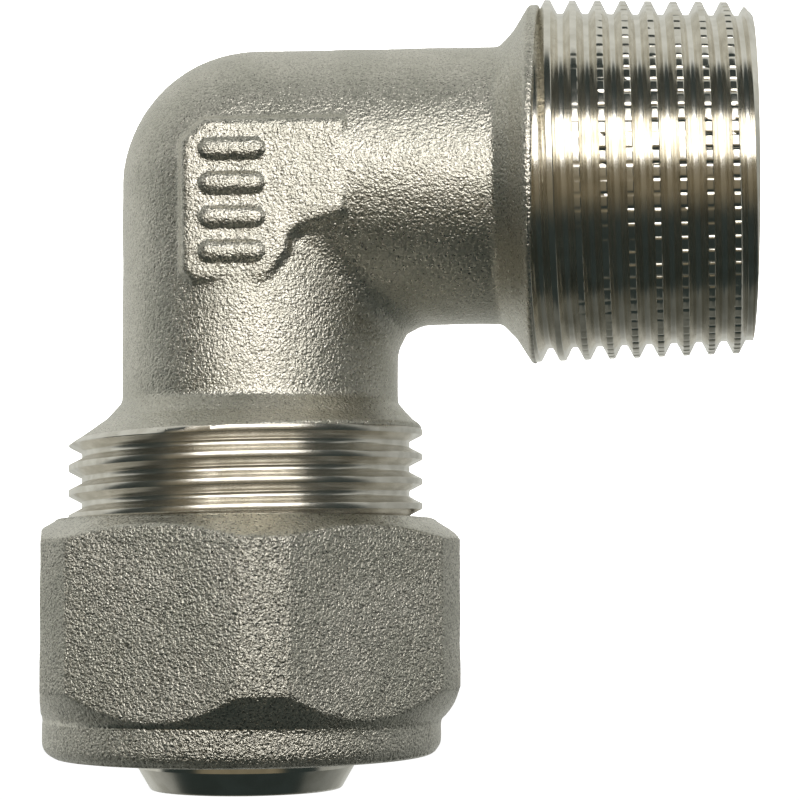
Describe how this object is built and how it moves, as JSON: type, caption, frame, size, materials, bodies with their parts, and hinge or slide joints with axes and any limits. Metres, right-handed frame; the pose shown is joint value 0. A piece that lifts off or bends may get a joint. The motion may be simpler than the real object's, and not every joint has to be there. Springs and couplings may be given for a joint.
{
  "type": "elbow compression fitting",
  "caption": "Right-angle compression fitting joining multilayer pipe, held by a union nut on a split ring, to a male taper thread.",
  "frame": {"origin": "where the axes of the two machined legs cross, which lies on the axis of the male leg's waterway", "axes": "+X along the male leg towards its open end, -Z along the compression leg towards the pipe, -Y towards the marking pad"},
  "size_m": [0.0532, 0.0324, 0.0575],
  "materials": {
    "nickel_forged": "nickel-plated forged brass, shot-blasted, with bright machined threads",
    "nickel_forged_nut": "nickel-plated forged brass, coarse shot-blasted",
    "brass_machined": "machined brass, lightly nickel-plated",
    "rubber_black": "moulded EPDM",
    "plastic_white": "moulded PTFE"
  },
  "bodies": {
    "elbow": {"elbow_body": "nickel_forged", "pipe_insert": "brass_machined", "insert_cone_seal": "rubber_black", "upper_pipe_o_ring": "rubber_black", "lower_pipe_o_ring": "rubber_black", "isolating_washer": "plastic_white"},
    "clamp_ring": {"split_ring": "brass_machined"},
    "nut": {"compression_nut": "nickel_forged_nut"}
  },
  "joints": [
    {"name": "nut_travel", "type": "slide", "parent": "elbow", "child": "clamp_ring", "axis": [0, 0, 1], "range_m": [-0.0055, 0.0019]},
    {"name": "nut_turn", "type": "hinge", "parent": "clamp_ring", "child": "nut", "pos_m": [0, 0, -0.033], "axis": [0, 0, 1], "range_deg": [-1080, 360]}
  ],
  "couplings": [
    {"joint": "nut_travel", "follows": "nut_turn", "m_per_rad": 0.00028871}
  ]
}
